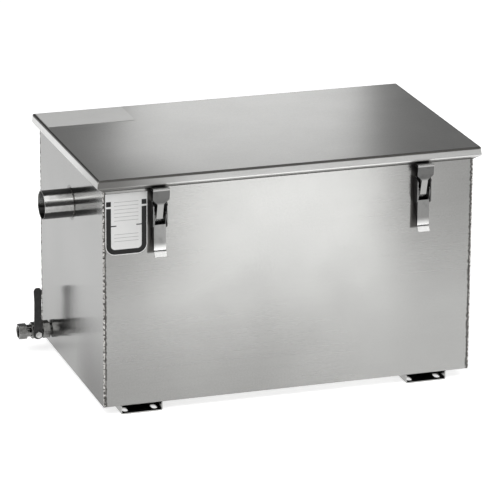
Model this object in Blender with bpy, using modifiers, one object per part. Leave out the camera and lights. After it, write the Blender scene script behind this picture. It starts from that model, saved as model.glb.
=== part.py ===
"""Stainless steel grease trap: welded tank, lift-off lid, toggle latches and drain ball valve.

Metres, +Z up. The origin is under the middle of the whole part, on the floor.
The front is at -Y, the inlet pipe and the drain valve are at -X, the outlet is at +X.
"""
import math

import bmesh
import bpy
from mathutils import Matrix, Vector

mm = 0.001

# Tank, outer sizes
tank_length = 660 * mm
tank_depth = 400 * mm
tank_height = 406 * mm          # underside of the tank to the top of the lid
wall_sheet = 1.5 * mm
bend_radius = 3.0 * mm
rim_width = 18 * mm             # inward fold that carries the gasket
gap = 0.3 * mm                  # between pieces that touch or are welded
film_gap = 0.1 * mm             # under a plate or label that is glued on

# Lid
lid_sheet = 1.2 * mm
lid_overhang = 10 * mm
lid_skirt = 15.2 * mm           # drop of the skirt
lid_flare = 2 * mm              # how far the skirt leans out
lid_lip_drop = 7.4 * mm
lid_lip_gap = 1.6 * mm          # lip's edge to the wall
lid_bend_radius = 1.8 * mm
gasket_width = 12 * mm
gasket_height = 4 * mm
gasket_inset = 2.5 * mm

# Feet
foot_width = 74 * mm
foot_height = 15.2 * mm
foot_sheet = 2 * mm
foot_recess = 1 * mm
foot_left_inset = 30 * mm
foot_right_inset = 41 * mm
slot_width = 10 * mm
slot_length = 20 * mm
slot_edge = 11 * mm             # slot's centre line to the side of the foot
slot_end = 18 * mm              # slot's centre to the end of the foot

# Pipes
pipe_radius = 25 * mm
pipe_wall = 1.5 * mm
pipe_reach = 52 * mm            # free end to the tank wall
inlet_drop = 101 * mm           # lid's top to the axis
outlet_drop = 135 * mm
inlet_inside = 62 * mm
outlet_inside = 18 * mm
pipe_bead = 2.8 * mm
dip_bend = 42 * mm
dip_straight = 8 * mm
dip_bottom = 72 * mm            # mouth of the dip pipe above the tank's underside

# Baffles and basket
baffle_sheet = 1.5 * mm
baffle_edge = 14 * mm           # stiffening fold along its top
baffle_top = 26 * mm            # below the rim
inlet_baffle_at = 222 * mm      # from the left wall
inlet_baffle_gap = 65 * mm      # above the tank's underside
outlet_baffle_at = 118 * mm     # from the right wall
outlet_baffle_gap = 50 * mm
rail_leg = 14 * mm
rail_length = 240 * mm
basket_height = 126 * mm
basket_depth = 250 * mm
basket_sheet = 1.0 * mm
basket_flange = 12 * mm
basket_side_gap = 16 * mm       # basket wall to tank wall
basket_drop = 162 * mm          # lid's top to the basket's rim
basket_hole = 6 * mm            # radius
basket_pitch = 34 * mm

# Drain valve, distances from the tank wall
valve_height = 26 * mm          # axis above the tank's underside
valve_from_back = 52 * mm
valve_reach = 58 * mm
valve_start = 2 * mm
valve_hex_end = 15 * mm
valve_split = 35 * mm           # body meets the end piece
valve_neck = 43 * mm            # end piece's hexagon starts
valve_stem_at = 27.5 * mm
valve_hex = 28 * mm             # across flats
valve_barrel_radius = 15 * mm
valve_end_hex = 25 * mm
valve_neck_radius = 10.8 * mm
valve_socket_radius = 9.4 * mm
valve_socket_depth = 13 * mm
valve_chamber = 9.3 * mm
valve_bore = 6 * mm
valve_chamfer = 1.4 * mm
ball_radius = 8.5 * mm
ball_bore = 5.5 * mm
nipple_radius = 10.5 * mm
nipple_bore = 7.6 * mm
nipple_grip = 8 * mm            # length inside the body's socket
stem_radius = 3 * mm
stem_boss_radius = 6.8 * mm
stem_boss_top = 17.5 * mm       # from the valve's axis
gland_hex = 13 * mm
gland_height = 4 * mm
handle_length = 86 * mm
handle_width = 14.2 * mm
handle_waist = 12.6 * mm
handle_hub_radius = 9 * mm
handle_sheet = 2.6 * mm
handle_nut_hex = 10 * mm
handle_nut_height = 4.6 * mm
handle_clip = 4.5 * mm          # clipped corners of its tip
run_gap = 0.25 * mm             # between a pin and its hole
seat_back = 2.2 * mm            # ball to the back of its seat
seat_cone = 2.6 * mm
mouth_chamfer = 1.2 * mm
key_width = 2.4 * mm            # stem's tongue in the ball's slot
key_depth = 2 * mm
overrun = 1 * mm                # how far a cutting tool passes the face that it cuts

# Labels
plate_width = 73 * mm
plate_height = 108 * mm
plate_sheet = 0.6 * mm
plate_left = 4 * mm             # from the tank's left side
plate_drop = 27.5 * mm          # lid's top to the plate's
plate_corner = 17 * mm
sticker_length = 157 * mm
sticker_depth = 87 * mm
sticker_sheet = 0.3 * mm
sticker_inset = 4 * mm

# Toggle latches: drops are below the lid's top, and the rest is measured out from the wall
latch_inset = 95 * mm           # latch centre to the tank's side
latch_sheet = 1.2 * mm
claw_drop = 18.5 * mm
claw_front = 24.5 * mm
claw_width = 29 * mm
claw_shoulder = 20 * mm         # wide part, down from the top
claw_taper = 9 * mm
claw_lean = 2.6 * mm            # how far the wide part leans in
claw_neck = 11 * mm
claw_leg = 1.5 * mm             # hook's short leg below its roof
hook_play = 0.7 * mm            # roof above the keeper's edge
hook_throat = 9.1 * mm          # keeper's leg to the hook's leg
hook_back = 0.5 * mm            # keeper's leg to the claw's plate
lever_pivot_out = 12 * mm
lever_pivot_drop = 65.5 * mm
crank = 9 * mm                  # lever pivot to claw pin
crank_lean = 20                 # degrees past straight down
lever_width = 21 * mm
lever_face = 14.4 * mm
lever_face_drop = 84 * mm
lever_face_height = 45.5 * mm
lever_tip_drop = 139 * mm
lever_tip_out = 20.5 * mm
lever_back = 5 * mm             # rear edge of the side arms
lever_arm_radius = 6 * mm
claw_pin_radius = 1.3 * mm
trunnion_radius = 2.5 * mm
eye_wall = 1.2 * mm
ear_sheet = 1.5 * mm
ear_play = 0.8 * mm
ear_drop = 45.5 * mm
ear_height = 45 * mm
ear_out = 18.5 * mm
keeper_width = 27 * mm
keeper_inner = 1.4 * mm         # inner edge, from the wall

# Places worked out from the sizes above
tank_x = (valve_reach - pipe_reach) / 2
base_z = foot_height + gap
lid_top = base_z + tank_height
rim_z = lid_top - lid_sheet - gasket_height - 2 * gap
half_length = tank_length / 2
half_depth = tank_depth / 2
inner_half_depth = half_depth - wall_sheet
inlet_height = tank_height - inlet_drop         # heights above the tank's underside
outlet_height = tank_height - outlet_drop
basket_rim = tank_height - basket_drop
plate_low = tank_height - plate_drop - plate_height
claw_top = tank_height - claw_drop
lever_pivot_up = tank_height - lever_pivot_drop
lever_face_top = tank_height - lever_face_drop
lever_face_low = lever_face_top - lever_face_height
lever_tip_up = tank_height - lever_tip_drop
ear_top = tank_height - ear_drop
ear_low = ear_top - ear_height
lip_z = lid_top - lid_skirt - lid_lip_drop
gland_seat = stem_boss_top + gap                # distances from the valve's axis
handle_seat = gland_seat + gland_height + gap
nut_seat = handle_seat + handle_sheet + gap

ALONG_X = (math.pi / 2, 0, math.pi / 2)         # outline drawn in Y, Z
ALONG_Y = (math.pi / 2, 0, 0)                   # outline drawn in X, Z
OUT_OF_WALL = (math.pi / 2, 0, -math.pi / 2)    # outline drawn in u, Z of a front latch
OUT = (0, -math.pi / 2, 0)                      # local +Z points to -X, out of the valve's wall
FORWARD = (math.pi / 2, 0, 0)                   # local +Z points to -Y


def clear_scene():
    for item in list(bpy.data.objects):
        bpy.data.objects.remove(item, do_unlink=True)


def new_collection(name):
    group = bpy.data.collections.new(name)
    bpy.context.scene.collection.children.link(group)
    return group


def finish(name, colour, roughness, metallic):
    """A plain Principled material."""
    material = bpy.data.materials.new(name)
    material.use_nodes = True
    shader = material.node_tree.nodes["Principled BSDF"]
    shader.inputs["Base Color"].default_value = (*colour, 1)
    shader.inputs["Roughness"].default_value = roughness
    shader.inputs["Metallic"].default_value = metallic
    return material


clear_scene()
parts = new_collection("grease_trap")
cutters = new_collection("cutters")

STEEL = ((0.58, 0.58, 0.57), 0.35, 1.0)
BRIGHT_STEEL = ((0.66, 0.66, 0.65), 0.22, 1.0)
WELD = ((0.5, 0.49, 0.47), 0.45, 1.0)
NICKEL = ((0.3, 0.3, 0.3), 0.25, 1.0)
RUBBER = ((0.03, 0.03, 0.03), 0.7, 0.0)
SEAT = ((0.85, 0.85, 0.83), 0.5, 0.0)
LABEL = ((0.75, 0.75, 0.73), 0.4, 0.0)
DIPPED = ((0.06, 0.06, 0.06), 0.4, 0.0)


def empty(name, location, parent=None, turn=0.0):
    frame = bpy.data.objects.new(name, None)
    frame.location = location
    frame.rotation_euler = (0, 0, turn)
    frame.parent = parent
    parts.objects.link(frame)
    return frame


trap = empty("trap_centre", (tank_x, 0, 0))


def place(item, location, turn, parent):
    item.location = location
    item.rotation_euler = turn
    item.parent = parent
    return item


def mesh_object(name, shape, look=None):
    """A part when it has a look, and otherwise a tool for cutting or joining."""
    item = bpy.data.objects.new(name, shape)
    if look is None:
        cutters.objects.link(item)
        item.hide_render = True
        item.display_type = "WIRE"
    else:
        parts.objects.link(item)
        shape.materials.clear()
        shape.materials.append(finish(name, *look))
    return item


def evaluated_mesh(item):
    bpy.context.view_layer.update()
    graph = bpy.context.evaluated_depsgraph_get()
    return bpy.data.meshes.new_from_object(item.evaluated_get(graph))


def weld_mesh(shape):
    """Join the loose caps of a curve's mesh and turn its faces out."""
    work = bmesh.new()
    work.from_mesh(shape)
    bmesh.ops.remove_doubles(work, verts=work.verts, dist=0.000002)
    bmesh.ops.recalc_face_normals(work, faces=work.faces)
    work.to_mesh(shape)
    work.free()
    return shape


def curve_to_mesh(curve):
    guide = bpy.data.objects.new("guide", curve)
    cutters.objects.link(guide)
    shape = weld_mesh(evaluated_mesh(guide))
    bpy.data.objects.remove(guide, do_unlink=True)
    return shape


def prism(loops, width):
    """A flat outline, with any holes in it, extruded to both sides of its plane."""
    curve = bpy.data.curves.new("outline", "CURVE")
    curve.dimensions = "2D"
    curve.fill_mode = "BOTH"
    curve.extrude = width / 2
    for loop in loops:
        spline = curve.splines.new("POLY")
        spline.points.add(len(loop) - 1)
        for point, (across, up) in zip(spline.points, loop):
            point.co = (across, up, 0, 1)
        spline.use_cyclic_u = True
    return curve_to_mesh(curve)


def smooth(item, angle=35):
    item.data.shade_smooth()
    item.data.set_sharp_from_angle(angle=math.radians(angle))
    return item


def boolean(item, tool, operation="DIFFERENCE"):
    change = item.modifiers.new(tool.name, "BOOLEAN")
    change.operation = operation
    change.solver = "EXACT"
    change.object = tool
    return item


def thicken(item, thickness):
    """Give an open surface its sheet thickness, kept even through the folds."""
    skin = item.modifiers.new("sheet", "SOLIDIFY")
    skin.solidify_mode = "NON_MANIFOLD"
    skin.nonmanifold_thickness_mode = "CONSTRAINTS"
    skin.thickness = thickness
    skin.offset = -1
    return item


def bake(item):
    """Apply the modifiers and remove the tools that they used."""
    shape = weld_mesh(evaluated_mesh(item))
    tools = [change.object for change in item.modifiers if change.type == "BOOLEAN"]
    item.modifiers.clear()
    item.data = shape
    for tool in tools:
        bpy.data.objects.remove(tool, do_unlink=True)
    return item


def rectangle(left, low, right, high):
    return [(left, low), (right, low), (right, high), (left, high)]


def circle(centre, radius, count=24):
    return [(centre[0] + radius * math.cos(math.tau * k / count),
             centre[1] + radius * math.sin(math.tau * k / count)) for k in range(count)]


def arc(centre, radius, start, end, steps):
    """Points on an arc, angles in degrees."""
    turns = [math.radians(start + (end - start) * k / steps) for k in range(steps + 1)]
    return [(centre[0] + radius * math.cos(t), centre[1] + radius * math.sin(t)) for t in turns]


def rounded(points, radius, steps=4, closed=False):
    """A polyline whose corners are arcs; a point may carry its own radius."""
    count = len(points)
    path = []
    for k, point in enumerate(points):
        if not closed and k in (0, count - 1):
            path.append(tuple(point[:2]))
            continue
        here = Vector(point[:2])
        own = point[2] if len(point) > 2 else radius
        back = (Vector(points[k - 1][:2]) - here).normalized()
        ahead = (Vector(points[(k + 1) % count][:2]) - here).normalized()
        half = back.angle(ahead) / 2
        reach = own / math.tan(half)
        centre = here + (back + ahead).normalized() * own / math.sin(half)
        first = here + back * reach - centre
        last = here + ahead * reach - centre
        sweep = first.angle_signed(last)
        for step in range(steps + 1):
            spoke = first.copy()
            spoke.rotate(Matrix.Rotation(-sweep * step / steps, 2))
            path.append(tuple(centre + spoke))
    return path


def sheet_outline(path, thickness):
    """The edge of a folded sheet: its path, and the same path moved to its left."""
    count = len(path)
    normals = []
    for k in range(count - 1):
        run = (Vector(path[k + 1]) - Vector(path[k])).normalized()
        normals.append(Vector((-run.y, run.x)))
    other = []
    for k in range(count):
        before = normals[max(k - 1, 0)]
        after = normals[min(k, count - 2)]
        shift = (before + after) * thickness / (1 + before.dot(after))
        other.append(tuple(Vector(path[k]) + shift))
    return list(path) + other[::-1]


def turned(profile, segments=32, closed=False):
    """A profile of radius and height, listed down its outer side, turned about Z."""
    shape = bpy.data.meshes.new("profile")
    edges = [(k, k + 1) for k in range(len(profile) - 1)]
    if closed:
        edges.append((len(profile) - 1, 0))
    shape.from_pydata([(radius, 0, height) for radius, height in profile], edges, [])
    guide = bpy.data.objects.new("guide", shape)
    cutters.objects.link(guide)
    screw = guide.modifiers.new("turn", "SCREW")
    screw.steps = segments
    screw.render_steps = segments
    screw.use_merge_vertices = True
    screw.merge_threshold = 0.00001
    result = weld_mesh(evaluated_mesh(guide))
    bpy.data.objects.remove(guide, do_unlink=True)
    return result


def tube(outer, inner, low, high, segments=32, chamfer=0.0):
    profile = [(outer - chamfer, high), (outer, high - chamfer), (outer, low), (inner, low), (inner, high)]
    if not chamfer:
        profile = profile[1:]
    return turned(profile, segments, closed=True)


def rod(radius, low, high, segments=24, sides=None):
    """A cylinder along Z, or a prism with the given number of sides."""
    work = bmesh.new()
    bmesh.ops.create_cone(work, cap_ends=True, segments=sides or segments, radius1=radius,
                          radius2=radius, depth=high - low,
                          matrix=Matrix.Translation((0, 0, (low + high) / 2)))
    shape = bpy.data.meshes.new("rod")
    work.to_mesh(shape)
    work.free()
    return shape


def hexagon(across_flats, low, high):
    return rod(across_flats / 2 / math.cos(math.pi / 6), low, high, sides=6)


def block(low, high):
    """A box between two corners."""
    work = bmesh.new()
    bmesh.ops.create_cube(work, size=1)
    for vert in work.verts:
        for axis in range(3):
            vert.co[axis] = high[axis] if vert.co[axis] > 0 else low[axis]
    shape = bpy.data.meshes.new("block")
    work.to_mesh(shape)
    work.free()
    return shape


def joined_mesh(shapes):
    """Several separate tools as one."""
    work = bmesh.new()
    for shape in shapes:
        work.from_mesh(shape)
    result = bpy.data.meshes.new("tools")
    work.to_mesh(result)
    work.free()
    return result


def moved(shape, offset, turn=None):
    if turn is not None:
        shape.transform(turn)
    shape.transform(Matrix.Translation(offset))
    return shape


def tool(name, shape, location=(0, 0, 0), turn=(0, 0, 0), parent=trap):
    return place(mesh_object(name, shape), location, turn, parent)


def part(name, shape, look, location=(0, 0, 0), turn=(0, 0, 0), parent=trap):
    return place(mesh_object(name, shape, look), location, turn, parent)


# Tank

def make_tank():
    """Front, floor and back folded from one sheet, with the two ends welded into it."""
    joint = wall_sheet + gap
    fold = [(-half_depth + rim_width, rim_z), (-half_depth, rim_z), (-half_depth, base_z),
            (half_depth, base_z), (half_depth, rim_z), (half_depth - rim_width, rim_z)]
    outline = sheet_outline(rounded(fold, bend_radius), wall_sheet)
    part("tank_shell", prism([outline], tank_length - 2 * joint), STEEL, turn=ALONG_X)

    fold = [(-half_length + rim_width, rim_z), (-half_length, rim_z), (-half_length, base_z)]
    outline = sheet_outline(rounded(fold, bend_radius), wall_sheet)
    width = tank_depth - 2 * joint
    for name, turn in (("end_wall_left", 0), ("end_wall_right", math.pi)):
        side = empty(name + "_side", (0, 0, 0), trap, turn)
        wall = part(name, prism([outline], width), STEEL, turn=ALONG_Y, parent=side)
        notches = []
        for sign in (-1, 1):
            near = sign * (half_depth - rim_width - gap)
            far = sign * half_depth
            notches.append(block((-half_length + wall_sheet, min(near, far), rim_z - 2 * bend_radius),
                                 (0, max(near, far), rim_z + bend_radius)))
        boolean(wall, tool(name + "_notches", joined_mesh(notches), parent=side))

    # Quarter-round bead in each upright corner
    corner = [(0, 0)] + arc((0, 0), wall_sheet, 180, 270, 4)
    for name, x_side, y_side in (("weld_front_left", -1, -1), ("weld_front_right", 1, -1),
                                 ("weld_back_left", -1, 1), ("weld_back_right", 1, 1)):
        centre = (x_side * (half_length - wall_sheet), y_side * (half_depth - wall_sheet))
        bead = [(-x_side * x, -y_side * y) for x, y in corner]
        low = base_z + bend_radius
        high = rim_z - bend_radius
        part(name, prism([bead], high - low), WELD, (*centre, (low + high) / 2))


def make_feet():
    """Channels welded under the tank, open at both ends, with fixing slots."""
    top = base_z - gap
    fold = [(-foot_width / 2, top), (-foot_width / 2, 0), (foot_width / 2, 0), (foot_width / 2, top)]
    outline = sheet_outline(rounded(fold, 1.5 * foot_sheet), foot_sheet)
    length = tank_depth - 2 * foot_recess
    places = {"foot_left": -half_length + foot_left_inset + foot_width / 2,
              "foot_right": half_length - foot_right_inset - foot_width / 2}
    for name, x in places.items():
        foot = part(name, prism([outline], length), STEEL, (x, 0, 0), ALONG_Y)
        slots = []
        straight = (slot_length - slot_width) / 2
        edge = (arc((0, straight), slot_width / 2, 0, 180, 8)
                + arc((0, -straight), slot_width / 2, 180, 360, 8))
        for across in (-1, 1):
            for end in (-1, 1):
                centre = (across * (foot_width / 2 - slot_edge), end * (length / 2 - slot_end), 0)
                slots.append(moved(prism([edge], 6 * foot_sheet), centre))
        boolean(foot, tool(name + "_slots", joined_mesh(slots), (x, 0, 0)))


# Lid

def make_lid():
    """Folded lid: a flat top, a skirt that leans out and a lip that turns in to the wall."""
    rings = [(lid_overhang, lid_top), (lid_overhang + lid_flare, lid_top - lid_skirt),
             (lid_lip_gap, lip_z)]
    work = bmesh.new()
    reach, height = rings[0]
    corners = rectangle(-half_length - reach, -half_depth - reach, half_length + reach, half_depth + reach)
    top = work.faces.new([work.verts.new((x, y, height)) for x, y in corners])
    edges = list(top.edges)
    for reach, height in rings[1:]:
        grown = bmesh.ops.extrude_edge_only(work, edges=edges)["geom"]
        edges = [item for item in grown if isinstance(item, bmesh.types.BMEdge)]
        for vert in {vert for edge in edges for vert in edge.verts}:
            vert.co = (math.copysign(half_length + reach, vert.co.x),
                       math.copysign(half_depth + reach, vert.co.y), height)
        edges = [edge for edge in edges if abs(edge.verts[0].co.z - edge.verts[1].co.z) < gap]
    bmesh.ops.recalc_face_normals(work, faces=work.faces)
    shape = bpy.data.meshes.new("lid")
    work.to_mesh(shape)
    work.free()
    lid = part("lid_shell", shape, STEEL)
    bend = lid.modifiers.new("bends", "BEVEL")
    bend.width = lid_bend_radius
    bend.segments = 3
    bend.limit_method = "ANGLE"
    bend.angle_limit = math.radians(30)
    thicken(lid, lid_sheet)

    outer = rectangle(-half_length + gasket_inset, -half_depth + gasket_inset,
                      half_length - gasket_inset, half_depth - gasket_inset)
    shrink = gasket_inset + gasket_width
    inner = rectangle(-half_length + shrink, -half_depth + shrink,
                      half_length - shrink, half_depth - shrink)
    part("lid_gasket", prism([outer, inner], gasket_height), RUBBER,
         (0, 0, rim_z + gap + gasket_height / 2))

    left = -half_length - lid_overhang + sticker_inset
    back = half_depth + lid_overhang - sticker_inset
    sticker = rounded(rectangle(left, back - sticker_depth, left + sticker_length, back),
                      bend_radius, closed=True)
    part("lid_label", prism([sticker], sticker_sheet), LABEL,
         (0, 0, lid_top + film_gap + sticker_sheet / 2))


# Pipes and inner plates

def make_pipes():
    """Inlet and outlet stubs through the end walls, and the dip pipe inside."""
    bore = pipe_radius - pipe_wall
    hole = pipe_radius + gap
    inlet_z = base_z + inlet_height
    outlet_z = base_z + outlet_height
    facing_left = (0, -math.pi / 2, 0)      # local +Z points to -X
    facing_right = (0, math.pi / 2, 0)
    stubs = (("inlet", -1, inlet_z, inlet_inside, facing_left),
             ("outlet", 1, outlet_z, outlet_inside, facing_right))
    for name, side, z, inside, turn in stubs:
        root = (side * half_length, 0, z)
        smooth(part(name + "_pipe", tube(pipe_radius, bore, -inside, pipe_reach, 40), STEEL, root, turn))
        bead = [(hole + pipe_bead * 0.35, gap + pipe_bead),
                (hole + pipe_bead * 0.8, gap + pipe_bead * 0.75),
                (hole + pipe_bead, gap), (hole, gap), (hole, gap + pipe_bead)]
        smooth(part(name + "_weld", turned(bead, 40, closed=True), WELD, root, turn))
        wall = bpy.data.objects["end_wall_left" if side < 0 else "end_wall_right"]
        boolean(wall, tool(name + "_hole", rod(hole, -2 * wall_sheet, 2 * wall_sheet, 40), root, turn))

    # Dip pipe: an elbow from the outlet stub down towards the floor
    start = half_length - outlet_inside - gap
    route = [(start, outlet_z)] + arc((start - dip_straight, outlet_z - dip_bend), dip_bend, 90, 180, 8)
    low = base_z + dip_bottom
    cut_route = [(start + overrun, outlet_z)] + route + [(route[-1][0], low - overrun)]
    route.append((route[-1][0], low))
    dip = part("dip_pipe", pipe_run(route, pipe_radius), STEEL)
    boolean(dip, tool("dip_bore", pipe_run(cut_route, bore)))
    smooth(dip)


def pipe_run(route, radius):
    """A solid round bar along a route drawn in X, Z."""
    curve = bpy.data.curves.new("run", "CURVE")
    curve.dimensions = "3D"
    curve.bevel_depth = radius
    curve.bevel_resolution = 6
    curve.use_fill_caps = True
    spline = curve.splines.new("POLY")
    spline.points.add(len(route) - 1)
    for point, (x, z) in zip(spline.points, route):
        point.co = (x, 0, z, 1)
    return curve_to_mesh(curve)


def make_baffles():
    """Two hanging plates that make the water pass under them, with a fold along the top."""
    top = rim_z - baffle_top
    plates = (("inlet_baffle", -half_length + inlet_baffle_at, inlet_baffle_gap, 1),
              ("outlet_baffle", half_length - outlet_baffle_at, outlet_baffle_gap, -1))
    for name, x, low_gap, fold_side in plates:
        low = base_z + low_gap
        fold = [(x, low), (x, top), (x + fold_side * baffle_edge, top)]
        if fold_side > 0:
            fold.reverse()
        outline = sheet_outline(rounded(fold, bend_radius), baffle_sheet)
        part(name, prism([outline], 2 * (inner_half_depth - gap)), STEEL, turn=ALONG_Y)


def make_basket():
    """Perforated basket under the inlet, hung by its rim on two angle rails."""
    left_face = -half_length + wall_sheet
    right_face = -half_length + inlet_baffle_at
    rim = base_z + basket_rim
    rail_z = rim - basket_sheet - gap
    for name, face, way in (("basket_rail_left", left_face + gap, 1),
                            ("basket_rail_right", right_face - gap, -1)):
        fold = [(face, rail_z - rail_leg), (face, rail_z), (face + way * rail_leg, rail_z)]
        if way > 0:
            fold.reverse()
        outline = sheet_outline(rounded(fold, bend_radius), wall_sheet)
        part(name, prism([outline], rail_length), STEEL, turn=ALONG_Y)

    low_x = left_face + basket_side_gap
    high_x = right_face - basket_side_gap
    half_y = basket_depth / 2
    floor = rim - basket_height
    work = bmesh.new()
    corners = rectangle(low_x, -half_y, high_x, half_y)
    bottom = work.faces.new([work.verts.new((x, y, floor)) for x, y in corners])
    edges = list(bottom.edges)
    middle_x = (low_x + high_x) / 2
    rings = [(0, rim), (basket_flange, rim)]
    for reach, height in rings:
        grown = bmesh.ops.extrude_edge_only(work, edges=edges)["geom"]
        edges = [item for item in grown if isinstance(item, bmesh.types.BMEdge)]
        for vert in {vert for edge in edges for vert in edge.verts}:
            side = 1 if vert.co.x > middle_x else -1
            vert.co = (middle_x + side * ((high_x - low_x) / 2 + reach),
                       math.copysign(half_y + reach, vert.co.y), height)
        edges = [edge for edge in edges if abs(edge.verts[0].co.z - edge.verts[1].co.z) < gap]
    bmesh.ops.recalc_face_normals(work, faces=work.faces)
    shape = bpy.data.meshes.new("basket")
    work.to_mesh(shape)
    work.free()
    basket = part("solids_basket", shape, STEEL)
    thicken(basket, basket_sheet)

    holes = []
    reach = 6 * basket_sheet
    spread_x = int((high_x - low_x) / basket_pitch) - 1
    spread_y = int(basket_depth / basket_pitch) - 1
    rows = int(basket_height / basket_pitch) - 1
    for i in range(spread_x + 1):
        for j in range(spread_y + 1):
            x = middle_x + (i - spread_x / 2) * basket_pitch
            y = (j - spread_y / 2) * basket_pitch
            holes.append(moved(rod(basket_hole, -reach, reach, sides=6), (x, y, floor)))
    across = Matrix.Rotation(math.pi / 2, 4, "Y")
    for k in range(rows):
        for j in range(spread_y + 1):
            y = (j - spread_y / 2) * basket_pitch
            z = floor + (k + 1) * basket_pitch
            for x in (low_x, high_x):
                holes.append(moved(rod(basket_hole, -reach, reach, sides=6), (x, y, z), across))
    boolean(basket, tool("basket_holes", joined_mesh(holes)))


# Drain valve

def make_valve():
    """Two-piece ball valve on a nipple, shut with its handle upright."""
    axis_y = half_depth - valve_from_back
    axis_z = base_z + valve_height
    root = empty("valve_root", (-half_length, axis_y, axis_z), trap)
    stem_place = (-valve_stem_at, 0, 0)
    stem = empty("stem_axis", stem_place, root)
    make_valve_body(root, stem_place)
    make_valve_end(root)
    make_seats(root, stem_place)
    make_stem(root, stem, stem_place)
    make_handle(stem)


def make_valve_body(root, stem_place):
    """Nipple, and the body with its hexagon, barrel and stem boss."""
    nipple_end = valve_start + nipple_grip
    nipple = tube(nipple_radius, nipple_bore, -4 * wall_sheet, nipple_end, 32)
    smooth(part("drain_nipple", nipple, NICKEL, turn=OUT, parent=root))
    wall = bpy.data.objects["end_wall_left"]
    hole = rod(nipple_radius + gap, -2 * wall_sheet, 2 * wall_sheet, 32)
    boolean(wall, tool("nipple_hole", hole, turn=OUT, parent=root))

    body = part("valve_body", hexagon(valve_hex, valve_start, valve_hex_end), NICKEL, turn=OUT, parent=root)
    soften(body)
    barrel = valve_barrel_radius
    low = valve_hex_end - valve_chamfer
    barrel_side = [(0, valve_split), (barrel - valve_chamfer, valve_split),
                   (barrel, valve_split - valve_chamfer), (barrel, valve_hex_end + valve_chamfer),
                   (barrel - 2 * valve_chamfer, low), (0, low)]
    boolean(body, tool("valve_barrel", turned(barrel_side, 32), turn=OUT, parent=root), "UNION")
    edge = valve_chamfer / 2
    root_of_boss = barrel * 0.7
    boss_side = [(0, stem_boss_top), (stem_boss_radius - edge, stem_boss_top),
                 (stem_boss_radius, stem_boss_top - edge), (stem_boss_radius, root_of_boss),
                 (0, root_of_boss)]
    boolean(body, tool("stem_boss", turned(boss_side, 24), stem_place, FORWARD, root), "UNION")

    seat_stop = valve_stem_at - ball_radius - seat_back
    socket = nipple_radius + gap
    inside = [(0, valve_split + overrun), (valve_chamber, valve_split + overrun),
              (valve_chamber, seat_stop), (valve_bore, seat_stop), (valve_bore, nipple_end + gap),
              (socket, nipple_end + gap), (socket, 0), (0, 0)]
    boolean(body, tool("valve_inside", turned(inside, 32), turn=OUT, parent=root))
    stem_hole = rod(stem_radius + run_gap, ball_radius / 2, stem_boss_top + overrun)
    boolean(body, tool("stem_hole", stem_hole, stem_place, FORWARD, root))
    smooth(bake(body), 30)


def make_valve_end(root):
    """End piece that screws into the body: a round neck, and a hexagon with the threaded mouth."""
    start = valve_split + gap
    end = part("valve_end", hexagon(valve_end_hex, valve_neck, valve_reach), NICKEL, turn=OUT, parent=root)
    soften(end)
    inner = valve_neck + overrun
    neck = [(0, inner), (valve_neck_radius, inner), (valve_neck_radius, start), (0, start)]
    boolean(end, tool("end_neck", turned(neck, 32), turn=OUT, parent=root), "UNION")
    seat_stop = valve_stem_at + ball_radius + seat_back
    bottom = valve_reach - valve_socket_depth
    wide = valve_socket_radius + mouth_chamfer
    inside = [(0, valve_reach + overrun), (wide, valve_reach + overrun), (wide, valve_reach),
              (valve_socket_radius, valve_reach - mouth_chamfer), (valve_socket_radius, bottom),
              (valve_bore, bottom), (valve_bore, seat_stop), (valve_chamber, seat_stop),
              (valve_chamber, start - overrun), (0, start - overrun)]
    boolean(end, tool("end_inside", turned(inside, 32), turn=OUT, parent=root))
    smooth(bake(end), 30)


def make_seats(root, stem_place):
    """Two rings, each with a cone towards the ball."""
    bore = ball_bore + gap
    touch = math.sqrt(ball_radius ** 2 - bore ** 2) + gap
    back = ball_radius + seat_back - gap
    outer = valve_chamber - gap
    ring = [(outer, back), (outer, touch - seat_cone), (bore, touch), (bore, back)]
    for name, turn in (("seat_outer", OUT), ("seat_inner", (0, math.pi / 2, 0))):
        smooth(part(name, turned(ring, 32, closed=True), SEAT, stem_place, turn, root))


def make_stem(root, stem, stem_place):
    """Ball, stem with a tongue in the ball's slot, and the gland nut that it passes through."""
    sphere = bmesh.new()
    bmesh.ops.create_uvsphere(sphere, u_segments=24, v_segments=14, radius=ball_radius)
    shape = bpy.data.meshes.new("ball")
    sphere.to_mesh(shape)
    sphere.free()
    ball = part("valve_ball", shape, BRIGHT_STEEL, parent=stem)
    boolean(ball, tool("ball_bore", rod(ball_bore, -2 * ball_radius, 2 * ball_radius), parent=stem))
    half_slot = key_width / 2 + gap
    slot = block((-ball_radius, -ball_radius - overrun, -half_slot),
                 (ball_radius, -ball_radius + key_depth, half_slot))
    boolean(ball, tool("ball_slot", slot, parent=stem))
    smooth(bake(ball))

    spindle = rod(stem_radius, ball_radius + gap, nut_seat + handle_nut_height + overrun)
    spindle = part("valve_stem", spindle, BRIGHT_STEEL, turn=FORWARD, parent=stem)
    key_reach = stem_radius * 0.8
    tongue = block((-key_reach, -key_width / 2, ball_radius - key_depth + gap),
                   (key_reach, key_width / 2, ball_radius + 2 * gap))
    boolean(spindle, tool("stem_tongue", tongue, turn=FORWARD, parent=stem), "UNION")
    smooth(bake(spindle))

    gland = hexagon(gland_hex, gland_seat, gland_seat + gland_height)
    gland = part("gland_nut", gland, NICKEL, stem_place, FORWARD, root)
    hole = rod(stem_radius + run_gap, 0, 2 * stem_boss_top)
    boolean(gland, tool("gland_hole", hole, stem_place, FORWARD, root))
    bake(gland)


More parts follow.
